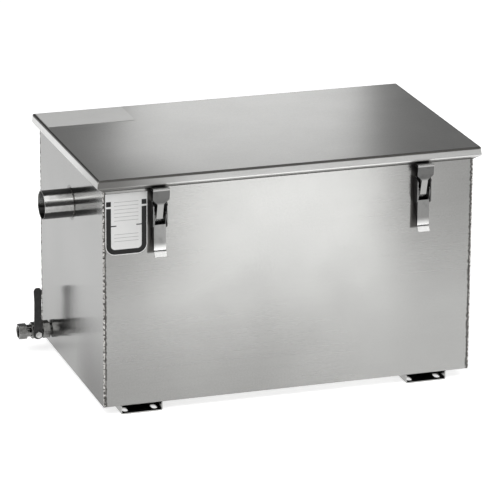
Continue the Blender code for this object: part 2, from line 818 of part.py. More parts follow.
def make_handle(stem):
    """Waisted strip, rounded about the stem and clipped at its tip, and its nut."""
    half = handle_width / 2
    waist = handle_waist / 2
    spread = math.degrees(math.asin(half / handle_hub_radius))
    tip = handle_length
    side = [(waist, tip * 0.7), (half, tip - 2 * handle_clip), (half, tip - handle_clip), (half / 2, tip)]
    edge = arc((0, 0), handle_hub_radius, 90 + spread, 450 - spread, 14)
    edge += side + [(-across, up) for across, up in reversed(side)]
    hole_radius = stem_radius + run_gap
    handle = prism([edge, circle((0, 0), hole_radius)], handle_sheet)
    level = handle_seat + handle_sheet / 2
    part("valve_handle", handle, DIPPED, (0, -level, 0), ALONG_Y, stem)

    nut = hexagon(handle_nut_hex, nut_seat, nut_seat + handle_nut_height)
    nut = part("handle_nut", nut, BRIGHT_STEEL, turn=FORWARD, parent=stem)
    boolean(nut, tool("nut_hole", rod(hole_radius, 0, 2 * nut_seat), turn=FORWARD, parent=stem))
    bake(nut)


def soften(item):
    """Break the edges of a hexagon."""
    edge = item.modifiers.new("edges", "BEVEL")
    edge.width = 0.5 * mm
    edge.segments = 1
    edge.limit_method = "ANGLE"


# Labels

def make_plate():
    """Blank rating plate with rounded lower corners, glued to the front."""
    low = base_z + plate_low
    left = -half_length + plate_left
    corners = [(left, low, plate_corner), (left + plate_width, low, plate_corner),
               (left + plate_width, low + plate_height, gap), (left, low + plate_height, gap)]
    outline = rounded(corners, 0, 5, closed=True)
    part("label_plate", prism([outline], plate_sheet), LABEL,
         (0, -half_depth - film_gap - plate_sheet / 2, 0), ALONG_Y)


# Toggle latches

claw_pin_out = lever_pivot_out - crank * math.sin(math.radians(crank_lean))
claw_pin_up = lever_pivot_up - crank * math.cos(math.radians(crank_lean))


def from_point(points, origin):
    """Points in u and height, measured from another point."""
    return [(point[0] - origin[0], point[1] - origin[1], *point[2:]) for point in points]


def keeper_out():
    """Outer face of the keeper's edge, just behind the leaning plate of the claw."""
    floor = lip_z - base_z - gap - latch_sheet
    lean = claw_lean * (claw_top - floor) / claw_shoulder
    return claw_front - latch_sheet - lean - hook_back


def claw_mesh():
    """Hook plate: short leg, roof, wide plate, neck and a rolled eye, cut to its front outline."""
    pin = (claw_pin_out, claw_pin_up)
    t = latch_sheet
    eye = claw_pin_radius + run_gap + eye_wall
    leg_in = keeper_out() - t - hook_throat - t
    bend_up = claw_top - claw_shoulder
    path = [(leg_in, claw_top - t - claw_leg), (leg_in, claw_top, 1.1 * t),
            (claw_front, claw_top, 1.4 * t), (claw_front - claw_lean, bend_up, 8 * t)]
    # The neck runs straight to the outer side of the eye, touching its circle
    start = Vector(path[-1][:2])
    to_pin = Vector(pin) - start
    neck_run = to_pin.normalized() * math.sqrt(to_pin.length_squared - eye ** 2)
    neck_run.rotate(Matrix.Rotation(math.asin(eye / to_pin.length), 2))
    path.append(tuple(start + neck_run))
    outer = rounded(from_point(path, pin), 0, 4)
    first = math.degrees(math.atan2(outer[-1][1], outer[-1][0]))
    outer += arc((0, 0), eye, first, first - 290, 12)[1:]
    outline = sheet_outline(outer, -t)
    side = mesh_object("claw_side", prism([outline], claw_width))
    top = claw_top - pin[1]
    half = claw_width / 2
    neck = claw_neck / 2
    low = top - claw_shoulder
    front = [(-half, top + t), (-half, low), (-neck, low - claw_taper), (-neck, -2 * eye),
             (neck, -2 * eye), (neck, low - claw_taper), (half, low), (half, top + t)]
    trim = mesh_object("claw_front", prism([front], 8 * claw_front))
    trim.rotation_euler = (0, math.pi / 2, 0)
    boolean(side, trim, "INTERSECT")
    return smooth(bake(side), 25).data


def lever_mesh():
    """Channel lever: two deep arms, a face with a turned-out tip, and pressed trunnions."""
    pivot = (lever_pivot_out, lever_pivot_up)
    r = lever_arm_radius
    fold = latch_sheet
    arms = [(lever_face, lever_face_low, fold), (lever_face, lever_face_top, fold),
            (pivot[0] + r, pivot[1] - r, r), (pivot[0] + r, pivot[1] + r, r * 0.98),
            (pivot[0] - r, pivot[1] + r, r * 0.98), (lever_back, pivot[1] - crank - r / 2, fold),
            (lever_back, lever_face_low + 3 * r, fold), (lever_face - 3 * fold, lever_face_low, fold)]
    outline = rounded(from_point(arms, pivot), 0, 4, closed=True)
    lever = mesh_object("lever_arms", prism([outline], lever_width))

    curl = [(lever_face, lever_face_low + r), (lever_face, lever_face_low, 5 * fold),
            (lever_tip_out, lever_tip_up)]
    lip = sheet_outline(rounded(from_point(curl, pivot), 0, 5), -fold)
    boolean(lever, mesh_object("lever_lip", prism([lip], lever_width)), "UNION")
    reach = lever_width / 2 + ear_play + ear_sheet + gap
    boolean(lever, mesh_object("trunnions", rod(trunnion_radius, -reach, reach, 14)), "UNION")
    inner = lever_width - 2 * latch_sheet
    behind = rectangle(-10 * lever_face, -10 * lever_face, lever_face - latch_sheet - pivot[0], 5 * r)
    between = mesh_object("lever_inside", prism([behind], inner))
    # Between the arms, above the face, the channel is open to the front too
    window = rectangle(-10 * lever_face, lever_face_top - pivot[1], 10 * lever_face, 5 * r)
    opening = mesh_object("lever_window", prism([window], inner))
    boolean(lever, between)
    boolean(lever, opening)
    pin = (claw_pin_out - pivot[0], claw_pin_up - pivot[1])
    hole = moved(rod(claw_pin_radius + run_gap, -lever_width, lever_width, 16), (*pin, 0))
    boolean(lever, mesh_object("pin_hole", hole))
    return smooth(bake(lever), 25).data


def base_mesh():
    """Bracket on the wall: a back plate and two ears with rounded tops and trunnion holes."""
    outer = lever_width / 2 + ear_play + ear_sheet
    inner = outer - ear_sheet
    tip = 5 * mm
    ear = [(gap, ear_low, ear_sheet), (ear_out, ear_low, 2 * tip), (ear_out, ear_top, tip),
           (gap, ear_top, ear_sheet)]
    pivot = (lever_pivot_out, lever_pivot_up)
    loops = [rounded(ear, 0, 5, closed=True), circle(pivot, trunnion_radius + run_gap, 16)]
    base = mesh_object("bracket", prism(loops, 2 * outer))
    hollow = rectangle(gap + ear_sheet, ear_low - tip, 2 * ear_out, ear_top + tip)
    boolean(base, mesh_object("bracket_inside", prism([hollow], 2 * inner)))
    return smooth(bake(base), 25).data


def keeper_mesh():
    """Strip welded under the lid's lip, its outer edge turned up for the hook."""
    t = latch_sheet
    floor = (lip_z - base_z) - gap
    leg_out = keeper_out()
    edge_up = claw_top - t - hook_play
    fold = [(keeper_inner, floor - t), (leg_out, floor - t, 1.4 * t), (leg_out, edge_up)]
    return prism([sheet_outline(rounded(fold, 0, 4), t)], keeper_width)


def make_latches():
    claw = claw_mesh()
    lever = lever_mesh()
    bracket = base_mesh()
    keeper = keeper_mesh()
    reach = lever_width / 2 - latch_sheet * 0.1
    pin = rod(claw_pin_radius, -reach, reach, 16)
    x = half_length - latch_inset
    for place_name, centre_x, side in (("front_left", -x, -1), ("front_right", x, -1),
                                       ("back_left", -x, 1), ("back_right", x, 1)):
        turn = 0 if side < 0 else math.pi
        wall = empty("latch_" + place_name, (centre_x, side * half_depth, base_z), trap, turn)
        pieces = (("latch_base", bracket, STEEL, (0, 0)), ("latch_keeper", keeper, STEEL, (0, 0)),
                  ("latch_lever", lever, BRIGHT_STEEL, (lever_pivot_out, lever_pivot_up)),
                  ("latch_claw", claw, BRIGHT_STEEL, (claw_pin_out, claw_pin_up)),
                  ("claw_pin", pin, BRIGHT_STEEL, (claw_pin_out, claw_pin_up)))
        for name, shape, look, (out, up) in pieces:
            part(name + "_" + place_name, shape.copy(), look, (0, -out, up), OUT_OF_WALL, wall)


make_tank()
make_feet()
make_lid()
make_pipes()
make_baffles()
make_basket()
make_valve()
make_plate()
make_latches()
bpy.context.view_layer.update()
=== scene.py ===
"""Stainless steel grease trap: looks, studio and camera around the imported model.

Metres, in the model's own axes: the front is at -Y, the inlet and the drain valve are at -X, +Z is up.
"""
import math

import bmesh
import bpy
from mathutils import Matrix, Vector


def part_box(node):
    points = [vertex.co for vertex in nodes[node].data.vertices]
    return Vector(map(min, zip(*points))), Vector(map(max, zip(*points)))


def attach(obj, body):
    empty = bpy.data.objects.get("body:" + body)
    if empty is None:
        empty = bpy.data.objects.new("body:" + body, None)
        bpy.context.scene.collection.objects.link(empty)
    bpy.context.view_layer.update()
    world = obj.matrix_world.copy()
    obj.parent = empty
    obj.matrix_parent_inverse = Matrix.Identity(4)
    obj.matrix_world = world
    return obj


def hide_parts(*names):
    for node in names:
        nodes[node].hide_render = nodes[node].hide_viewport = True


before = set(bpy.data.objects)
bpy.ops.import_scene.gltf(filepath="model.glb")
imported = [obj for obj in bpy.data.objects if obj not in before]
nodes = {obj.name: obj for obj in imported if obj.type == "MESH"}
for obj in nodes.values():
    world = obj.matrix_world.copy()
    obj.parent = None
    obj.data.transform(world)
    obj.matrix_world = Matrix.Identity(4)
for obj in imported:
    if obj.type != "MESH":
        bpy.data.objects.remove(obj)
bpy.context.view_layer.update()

mm = 0.001

# Where things are, from the model itself
SHELL_LOW, SHELL_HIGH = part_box("tank_shell")
LEFT_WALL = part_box("end_wall_left")[0][0]
RIGHT_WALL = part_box("end_wall_right")[1][0]
FRONT_WALL = SHELL_LOW[1]
BACK_WALL = SHELL_HIGH[1]
TRAP_X = (LEFT_WALL + RIGHT_WALL) / 2
HALF_LENGTH = RIGHT_WALL - TRAP_X
LID_LOW, LID_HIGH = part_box("lid_shell")
PLATE_LOW, PLATE_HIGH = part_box("label_plate")
KEEPER_LOW, KEEPER_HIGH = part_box("latch_keeper_front_right")
LATCH_REACH = (KEEPER_LOW[0] + KEEPER_HIGH[0]) / 2 - TRAP_X
LEVER_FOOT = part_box("latch_lever_front_right")[0][2]
CLAW_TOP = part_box("latch_claw_front_right")[1][2]
PIPES = {side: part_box(side + "_pipe") for side in ("inlet", "outlet")}
WELDS = {side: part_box(side + "_weld") for side in ("inlet", "outlet")}
MOUTH_LOW, MOUTH_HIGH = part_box("valve_end")

# Corners: whether they are at the high end of X and of Y, and which way is outward, in degrees
CORNERS = {"front_left": (False, False, 225), "front_right": (True, False, 315),
           "back_right": (True, True, 45), "back_left": (False, True, 135)}

# Colours of the steel
STEEL = (0.365, 0.365, 0.357)
END_STEEL = (0.225, 0.225, 0.22)
LID_STEEL = (0.46, 0.46, 0.45)
# Painted sheen: the paler colour of the lid's flanges stands in for their brighter reflections
FLANGE_SHEEN = (0.68, 0.68, 0.67)
INSIDE_STEEL = (0.52, 0.52, 0.51)
PIPE_STEEL = (0.52, 0.52, 0.51)
STEM_STEEL = (0.74, 0.74, 0.73)
STRIP = (0.16, 0.16, 0.157)
# Painted highlight on the lever's foot
TIP_HIGHLIGHT = (0.78, 0.78, 0.77)
CLAW = (0.105, 0.105, 0.103)
# Painted highlight on the claw's neck and the roof of its hook
CLAW_HIGHLIGHT = (0.30, 0.30, 0.294)
PAINTED_DARK = (0.02, 0.02, 0.02)    # painted shade on the latch strip's sides, and painted dark reflections on the stubs
BURNT_AND_SHADE = (0.05, 0.047, 0.043)    # heat-stained steel beside a weld, and the colour of painted shade and shadow on the sheets

# Colours of the other finishes, where their pattern is 0 and where it is 1
CORNER_METAL = ((0.08, 0.077, 0.073), (0.56, 0.55, 0.53))
STUB_METAL = (BURNT_AND_SHADE, (0.22, 0.21, 0.2))
LID_METAL = ((0.26, 0.25, 0.235), (0.78, 0.77, 0.75))
NICKEL = ((0.20, 0.20, 0.195), (0.12, 0.118, 0.115))
COATING = ((0.035, 0.035, 0.035), (0.07, 0.07, 0.068))
FOAM = ((0.018, 0.018, 0.018), (0.05, 0.05, 0.05))
SEAT = ((0.78, 0.78, 0.76), (0.88, 0.88, 0.86))
PLATE_FACE = ((0.77, 0.77, 0.765), (0.83, 0.83, 0.82))
PLATE_RULE = (0.12, 0.12, 0.12)
PLATE_INK = (0.006, 0.006, 0.006)
PAPER = ((0.50, 0.50, 0.49), (0.56, 0.56, 0.55))

# Patterns: features per metre, with three numbers where they differ along X, Y and Z
GRAIN_ACROSS = 750              # brushed sheet, across the grain and along it
GRAIN_ALONG = 7
STREAK_ACROSS = 95
STREAK_ALONG = 1.6
SPECKLES = 340
CLOUDS = 9
WAVES = 5                       # soft waves of the sheet
# ragged edge of the painted shade low on the walls
LOW_SHADE_PATCHES = 14
HEAT_PATCHES = 170
MARK_PATCHES = 160              # darker patches on the lid above the latches
BEAD_PATCHES = 220
STRIP_GRAIN = (900, 25, 25)     # latch strip
STRIP_SCUFFS = (260, 60, 60)
STRIP_GRIME = 85
TUBE_RINGS = (12, 12, 3000)     # turned rings, close together along the stub
TUBE_PATCHES = 120
CAST_GRAIN = 900
CAST_STAINS = 120
COATING_GRAIN = 700
COATING_WEAR = 140
FOAM_CELLS = 1400
SEAT_HAZE = 300
PLATE_FILM = 60
PAPER_PRESS = 28
PAPER_FIBRES = 1500

# Brushed sheet, beside its patterns
WAVE_DEPTH = 1.2 * mm
TONES = (0.84, 1.14)            # darkest and brightest, as shares of the steel's colour

# Where one finish turns into another, and where painted highlights and sheen start
FACING = (0.6, 0.9)             # of a surface towards an axis
INSIDE_WALL = (BACK_WALL - 1.1 * mm, BACK_WALL - 0.7 * mm)      # within the sheet's thickness
INSIDE_END = (HALF_LENGTH - 1.1 * mm, HALF_LENGTH - 0.7 * mm)
INSIDE_FLOOR = (SHELL_LOW[2] + 0.6 * mm, SHELL_LOW[2] + 1 * mm)
LEVER_CHANGE = (LEVER_FOOT + 4 * mm, LEVER_FOOT + 26 * mm)
CLAW_CHANGE = (CLAW_TOP - 31 * mm, CLAW_TOP - 25 * mm)
CLAW_ROOF = (CLAW_TOP - 4.5 * mm, CLAW_TOP - 3.5 * mm)
LONG_FLANGES = 0.4              # how far the painted sheen on the lid's long flanges goes towards that on its end flanges

# Heat stains beside the welds: width, and share of the burnt colour
FRONT_HEAT = (6.5 * mm, 0.9)
END_HEAT = (1.8 * mm, 0.8)
PIPE_HEAT = (3.2 * mm, 0.5)
HEAT_CORE = 0.55                # share of the width before the stain fades
NEAR_WALL = (10 * mm, 20 * mm)  # how far from a stub's weld the wall still is its own

# Painted shade and shadow on the tank: share of the burnt colour, and where each one starts and ends
LOW_SHADE = 0.26
LOW_SHADE_HEIGHT = 270 * mm
LOW_SHADE_RAGGED = 90 * mm
SHADE_FADES = 0.8                   # share of the front's painted shade low down that fades out towards the right
SHADE_FADE_FRONT = (-60 * mm, 200 * mm)
# painted shade high up near the ends of the front
END_SHADE = 0.28
END_SHADE_REACH = (50 * mm, 310 * mm)    # from the trap's middle
END_SHADE_HEIGHT = (80 * mm, 340 * mm)
CORNER_SHADE = 0.75                    # painted shade on the low front corner of the drain's wall
CORNER_SHADE_DEPTH = (80 * mm, 250 * mm)
CORNER_SHADE_HEIGHT = (0, 190 * mm)
CORNER_SHADE_END = (0, 10 * mm)
# Painted shadow beside each latch: its share, and where it starts and ends
LATCH_SHADOW = 0.85
SHADOW_STARTS = (-20 * mm, -17 * mm)     # beside a latch, from its middle
SHADOW_ENDS = (-3 * mm, 4 * mm)
SHADOW_FOOT = (LEVER_FOOT, LEVER_FOOT + 5 * mm)

# Painted shade on the lid, and darker patches above the latches, told in the same way
FOLD_SHADE = 0.9
FOLD_HEIGHT = (LID_HIGH[2] - 4.5 * mm, LID_HIGH[2] - 3 * mm)
FOLD_WIDTH = (3.6 * mm, 5 * mm)
LIP_SHADE = 0.85
LIP_HEIGHT = (LID_LOW[2] + 2.6 * mm, LID_LOW[2] + 4 * mm)
MARK_REACH = (10 * mm, 26 * mm)         # from a latch's middle
MARK_HEIGHT = (LID_LOW[2] + 1 * mm, LID_LOW[2] + 13 * mm)
MARK_DEPTH = (BACK_WALL, BACK_WALL + 6 * mm)
# Painted shade on the lid's left front corner: how far it reaches, and its share on the flange and on the
# top
LEFT_SHADE_END = (10 * mm, 200 * mm)
LEFT_FLANGE_SHADE = 0.76
FLANGE_DEPTH = (2 * mm, 6 * mm)
LEFT_TOP_SHADE = 0.3
TOP_DEPTH = (15 * mm, 190 * mm)

# Weld beads
CORNER_BEAD = 2.3 * mm          # radius
CORNER_INSET = 1.5 * mm
LID_BEAD = 0.9 * mm
LID_INSET = 2.4 * mm
LID_BEAD_FOOT = 8 * mm          # above the lid's lower edge
LID_BEAD_TOP = 1.5 * mm         # below its top
BEAD_ARC = 150                  # degrees of round front
BEAD_STEPS = 8
PIPE_LEG = 1.0 * mm
PIPE_STEPS = 6
LEG_CORE = 0.2                  # share of a pipe bead's leg that has no ripples
BEAD_ROOT = 0.3 * mm            # inner edge of a pipe's bead, out from the pipe
BEAD_RIPPLE = 3.2 * mm          # distance between ripples
STEPS_PER_RIPPLE = 6
RIPPLE_LOW = 0.74               # shares of the bead's radius
RIPPLE_RISE = 0.2
RIPPLE_LEAN = 0.7               # below 1, the ripple rises fast and falls slowly
DRIFT = 0.16
DRIFT_TURNS = (1.7, 0.61)       # of its two slow waves, for each ripple

# Inlet and outlet stubs
PIPE_WALL = 1.5 * mm
PIPE_SIDES = 120
CUT_EDGE = 0.25 * mm            # how much of the stub's cut edges is broken
PIPE_LOW_REFLECTION = 6 * mm             # where the painted dark reflection on the underside starts, below the stub's axis
PIPE_HIGH_REFLECTION = 19 * mm             # and the painted dark reflection on the top, above it
LOW_REFLECTION_FADE = 2 * mm
HIGH_REFLECTION_FADE = 3 * mm

# Half-inch pipe thread in the drain valve's mouth
THREAD_RADIUS = 9.5 * mm
THREAD_DEPTH = 1.0 * mm
THREAD_PITCH = 1.8 * mm
THREAD_HALF = 0.42 * THREAD_PITCH
THREAD_START = 2.4 * mm
THREAD_TURNS = 5
THREAD_SIDES = 24

# Rating plate
PLATE_BORDER = 8.2 * mm
PLATE_MARGIN = 1.5 * mm
PLATE_CORNER = 17 * mm
PLATE_LEGS = 82.5 * mm          # heights above the plate's lower edge
PLATE_SQUARES = (86 * mm, 94.5 * mm)
PLATE_DASH = 50.5 * mm
DASH_REACH = 9.4 * mm
DASH_HEIGHT = 1.7 * mm
RULE_HEIGHT = 0.5 * mm
RULE_REACH = 21 * mm
PLATE_RULES = (24 * mm, 30 * mm, 36 * mm, 60 * mm, 66.5 * mm, 73 * mm, 79.5 * mm, 86 * mm, 92.5 * mm)
PRINT_SOFT = 0.25 * mm          # width of the print's soft edge

# Studio
FLOOR_SIZE = 40
FLOOR_PAINT = (0.8, 0.8, 0.8)
FLOOR_GLOW = 0.7
BLACK = (0, 0, 0)
WHITE = (1, 1, 1)
ROOM_HIGH = (0.08, 0.08, 0.08)
ROOM_FRONT = (0.07, 0.07, 0.07)
ROOM_BACK = (0.23, 0.23, 0.23)
ROOM_SIDE = (0.55, 0.55, 0.55)
FRONT_TO_BACK = (-0.1, 0.6)     # where the room's parts meet, as directions
LOW_TO_HIGH = (0.5, 0.85)
MIDDLE_TO_SIDE = (0.45, 0.75)
SIDE_TO_HIGH = (0.5, 0.8)

# Lamps: name, place, aim, width, depth, watts
LAMPS = (("top_box", (0.2, -2.1, 4.5), (0.2, -2.1, 0), 8.0, 4.5, 200),
         ("key_box", (-2.5, -2.6, 3.3), (0, 0, 0.2), 3.0, 1.5, 60),
         ("front_card", (0.23, -1.0, 0.13), (0.0, -0.2, 0.25), 0.46, 0.26, 0.6),
         ("back_card", (0.31, 1.0, 0.75), (0.02, 0.1, 0.42), 0.5, 0.35, 0.76))

# Camera
LENS = 272.3
FAR_CLIP = 60
CAMERA_PLACE = (-1.9741, -5.9717, 2.2744)
CAMERA_YAW = 18.27              # degrees, from +Y towards +X
CAMERA_DOWN = 18.23
CAMERA_ROLL = 0.355


class Wire:
    """An output of a node. Arithmetic on it adds Math nodes."""

    def __init__(self, look, socket):
        self.look = look
        self.socket = socket

    def maths(self, operation, *values):
        return self.look.node("Math", {"operation": operation}, dict(enumerate(values)))

    def __add__(self, other):
        return self.maths("ADD", self, other)

    def __radd__(self, other):
        return self.maths("ADD", other, self)

    def __sub__(self, other):
        return self.maths("SUBTRACT", self, other)

    def __rsub__(self, other):
        return self.maths("SUBTRACT", other, self)

    def __mul__(self, other):
        return self.maths("MULTIPLY", self, other)

    def __rmul__(self, other):
        return self.maths("MULTIPLY", other, self)

    def __pow__(self, other):
        return self.maths("POWER", self, other)

    def __neg__(self):
        return self.maths("MULTIPLY", self, -1)

    def __abs__(self):
        return self.maths("ABSOLUTE", self)

    def low(self, other):
        return self.maths("MINIMUM", self, other)

    def high(self, other):
        return self.maths("MAXIMUM", self, other)

    def root(self):
        return self.maths("SQRT", self)

    def step(self, start, end):
        """0 before start and 1 after end, with a smooth change between them."""
        settings = {"interpolation_type": "SMOOTHSTEP"}
        return self.look.node("MapRange", settings, {"Value": self, "From Min": start, "From Max": end})

    def axis(self, name):
        """One number of a vector."""
        return self.look.node("SeparateXYZ", inputs={0: self}, output=name)

    def axes(self, names="XYZ"):
        """Several of them."""
        return [self.axis(name) for name in names]


class Look:
    """A material, or the world, while its nodes are being made."""

    def __init__(self, owner):
        owner.use_nodes = True
        self.owner = owner
        self.tree = owner.node_tree

    def feed(self, socket, value):
        """Links a wire to a socket, or sets the socket's own value."""
        if isinstance(value, Wire):
            self.tree.links.new(value.socket, socket)
        elif isinstance(value, tuple) and len(value) == 3 and socket.type == "RGBA":
            socket.default_value = (*value, 1)
        else:
            socket.default_value = value

    def node(self, kind, settings=None, inputs=None, output=0):
        """Any node: its settings first, then the values or links of its sockets."""
        made = self.tree.nodes.new("ShaderNode" + kind)
        for name, value in (settings or {}).items():
            setattr(made, name, value)
        for name, value in (inputs or {}).items():
            self.feed(made.inputs[name], value)
        return Wire(self, made.outputs[output])

    def place(self, kind="Object"):
        """Coordinates of the surface: at rest Object ones are the model's own, in metres."""
        return self.node("TexCoord", output=kind)

    def scaled(self, vector, factors):
        """A vector with each of its numbers times its own factor."""
        return self.node("VectorMath", {"operation": "MULTIPLY"}, {0: vector, 1: factors})

    def noise(self, vector, scale=1.0, detail=2.0, roughness=0.5):
        inputs = {"Vector": vector, "Scale": scale, "Detail": detail, "Roughness": roughness}
        return self.node("TexNoise", inputs=inputs)

    def mix(self, factor, first, second):
        """A colour: the first at factor 0 and the second at factor 1."""
        settings = {"data_type": "RGBA"}
        return self.node("Mix", settings, {0: factor, 6: first, 7: second}, output=2)

    def bump(self, height, distance, normal=None):
        inputs = {"Height": height, "Distance": distance}
        if normal is not None:
            inputs["Normal"] = normal
        return self.node("Bump", inputs=inputs)


def finish_look(look, **surface):
    """The look's material, with these values or links on its shader's sockets."""
    shader = look.tree.nodes["Principled BSDF"]
    for socket, value in surface.items():
        look.feed(shader.inputs[socket.replace("_", " ")], value)
    return look.owner


# Metal finishes

def toned(colour, share):
    """A colour with each of its parts times the share."""
    return tuple(share * part for part in colour)


def across(grain, coarse, fine):
    """How much finer the pattern is across the grain than along it, for each axis."""
    return tuple(fine if axis != grain else coarse for axis in "XYZ")


def brushed(name, grain, colour=STEEL, gloss=0.2, depth=0.05 * mm, darkened_where=None, smear=0.0, turn=0.0,
            inside=None, paler=None):
    """Brushed stainless sheet whose grain runs along one axis.

    Of the functions that may be given, the one for darker places says where it is burnt, where it has darker
    patches, and where shade and shadow are painted, inside where it is dull, and paler where painted sheen
    gives it the flanges' pale colour.
    Reflections on an upright wall are smeared level at turn 0, and up and down at turn 0.25.
    """
    look = Look(bpy.data.materials.new(name))
    place = look.place()
    fine = look.noise(look.scaled(place, across(grain, GRAIN_ALONG, GRAIN_ACROSS)), detail=3)
    streak = look.noise(look.scaled(place, across(grain, STREAK_ALONG, STREAK_ACROSS)), detail=4,
                        roughness=0.6)
    cloud = look.noise(place, scale=CLOUDS, detail=3)
    wave = look.noise(place, scale=WAVES, detail=1)
    worn = streak.step(0.32, 0.68)
    speckle = look.noise(place, scale=SPECKLES, detail=5, roughness=0.8)
    shade = (worn * 0.1 + cloud.step(0.3, 0.7) * 0.2 + fine.step(0.3, 0.7) * 0.1
             + speckle.step(0.2, 0.8) * 0.6)
    base = look.mix(shade, *(toned(colour, share) for share in TONES))
    rough = gloss + worn * 0.02 + fine * 0.04
    if paler is not None:
        # painted sheen on the lid's flanges
        base = look.mix(paler(look), base, FLANGE_SHEEN)
    if darkened_where is not None:
        # weld stains, and painted shade and shadow, from the function given
        stain_and_shade = darkened_where(look, place)
        base = look.mix(stain_and_shade, base, BURNT_AND_SHADE)
        rough = rough + stain_and_shade * 0.15
    if inside is not None:
        dull = inside(place)
        base = look.mix(dull, base, INSIDE_STEEL)
        rough = rough + dull * 0.3
    sheet = look.bump(wave, WAVE_DEPTH)
    return finish_look(look, Base_Color=base, Metallic=1.0, Roughness=rough, Anisotropic=smear,
                       Anisotropic_Rotation=turn, Normal=look.bump(fine, depth, normal=sheet))


def inside_shell(place):
    """1 on the folded sheet's inner faces, which nobody polished after the welding."""
    y, z = place.axes("YZ")
    return (1 - abs(y).step(*INSIDE_WALL)) * z.step(*INSIDE_FLOOR)


def inside_ends(place):
    """1 on the inner faces of the two end walls."""
    return 1 - abs(place.axis("X") - TRAP_X).step(*INSIDE_END)


def lid_flanges(look):
    """Painted sheen: 1 on the lid's end flanges, and less on its long ones."""
    endways, sideways = look.place("Normal").axes("XY")
    return abs(endways).step(*FACING).high(abs(sideways).step(*FACING) * LONG_FLANGES)


def beside_weld(look, place, distance, width, share):
    """The share at the weld and 0 beyond the width, with a ragged edge."""
    ragged = look.noise(place, scale=HEAT_PATCHES, detail=3)
    fade = (distance + (ragged - 0.5) * width).step(width * HEAT_CORE, width)
    return (1 - fade) * share


def shade_towards_floor(look, place):
    """Painted shade on the walls, darker towards the floor."""
    height = place.axis("Z") - SHELL_LOW[2]
    patch = look.noise(place, scale=LOW_SHADE_PATCHES, detail=3)
    return (1 - (height + (patch - 0.5) * LOW_SHADE_RAGGED).step(0, LOW_SHADE_HEIGHT)) * LOW_SHADE


def front_stain_and_shade(look, place):
    """Weld stains beside the corner welds, painted shadow beside the latches, and painted shade low down and
    high up near the ends.
    """
    x, z = place.axes("XZ")
    from_middle = abs(x - TRAP_X)
    weld = beside_weld(look, place, HALF_LENGTH - from_middle, *FRONT_HEAT)
    front_low_shade = shade_towards_floor(look, place) * (1 - (x - TRAP_X).step(*SHADE_FADE_FRONT) * SHADE_FADES)
    high_end_shade = from_middle.step(*END_SHADE_REACH) * (z - SHELL_LOW[2]).step(*END_SHADE_HEIGHT) * END_SHADE
    return weld.high(front_low_shade).high(high_end_shade).high(shadow_beside_latches(x - TRAP_X, z))


def shadow_beside_latches(along, height):
    """Painted shadow in the narrow strip of wall beside and behind each latch."""
    marks = []
    for middle in (-LATCH_REACH, LATCH_REACH):
        across_latch = along - middle
        marks.append(across_latch.step(*SHADOW_STARTS) * (1 - across_latch.step(*SHADOW_ENDS)))
    return marks[0].high(marks[1]) * height.step(*SHADOW_FOOT) * LATCH_SHADOW


def end_stain_and_shade(look, place):
    """Weld stains beside the corner welds and around the stub in the wall, and painted shade low down, most
    of all at the low front corner of the drain's end.
    """
    x, y, z = place.axes()
    corner = beside_weld(look, place, BACK_WALL - abs(y), *END_HEAT)
    stubs = pipe_stain(look, place, "inlet").high(pipe_stain(look, place, "outlet"))
    low_front = (1 - (y - FRONT_WALL).step(*CORNER_SHADE_DEPTH)) * (1 - (z - SHELL_LOW[2]).step(*CORNER_SHADE_HEIGHT))
    drain_corner_shade = low_front * (1 - (x - TRAP_X).step(*CORNER_SHADE_END)) * CORNER_SHADE
    return corner.high(stubs).high(shade_towards_floor(look, place)).high(drain_corner_shade)


def pipe_stain(look, place, side):
    """Heat around a stub, on its own wall only."""
    x, y, z = place.axes()
    low, high = WELDS[side]
    middle = (low + high) / 2
    reach = (high[2] - low[2]) / 2
    across_pipe = ((y - middle[1]) ** 2 + (z - middle[2]) ** 2).root() - reach
    return beside_weld(look, place, across_pipe, *PIPE_HEAT) * (1 - abs(x - middle[0]).step(*NEAR_WALL))


def lid_marks_and_shade(look, place):
    """Painted shade along the lid's top fold, its lower lip and its left front corner, and darker patches
    above each latch.
    """
    x, y, z = place.axes()
    middle = (LID_LOW[0] + LID_HIGH[0]) / 2
    from_rim = (LID_HIGH[1] - abs(y)).low((LID_HIGH[0] - middle) - abs(x - middle))
    fold = z.step(*FOLD_HEIGHT) * (1 - from_rim.step(*FOLD_WIDTH)) * FOLD_SHADE
    lip = (1 - z.step(*LIP_HEIGHT)) * LIP_SHADE
    beside_latch = 1 - abs(abs(x - TRAP_X) - LATCH_REACH).step(*MARK_REACH)
    low_down = 1 - z.step(*MARK_HEIGHT)
    patch = look.noise(place, scale=MARK_PATCHES, detail=2).step(0.25, 0.75)
    mark = beside_latch * low_down * abs(y).step(*MARK_DEPTH) * (patch * 0.4 + 0.2)
    from_front = y - LID_LOW[1]
    # painted shade on the lid's left front corner
    flange = (1 - from_front.step(*FLANGE_DEPTH)) * LEFT_FLANGE_SHADE
    top = (1 - from_front.step(*TOP_DEPTH)) * LEFT_TOP_SHADE
    left_front_shade = flange.high(top) * (1 - (x - LID_LOW[0]).step(*LEFT_SHADE_END))
    return mark.high(fold).high(lip).high(left_front_shade)


def bead_metal(name, dark, bright):
    """Weld bead: browner steel than the sheet, with bright patches."""
    look = Look(bpy.data.materials.new(name))
    place = look.place()
    patch = look.noise(place, scale=BEAD_PATCHES, detail=3).step(0.35, 0.65)
    base = look.mix(patch, dark, bright)
    return finish_look(look, Base_Color=base, Metallic=1.0, Roughness=0.2 + patch * 0.16,
                       Normal=look.bump(patch, 0.05 * mm))


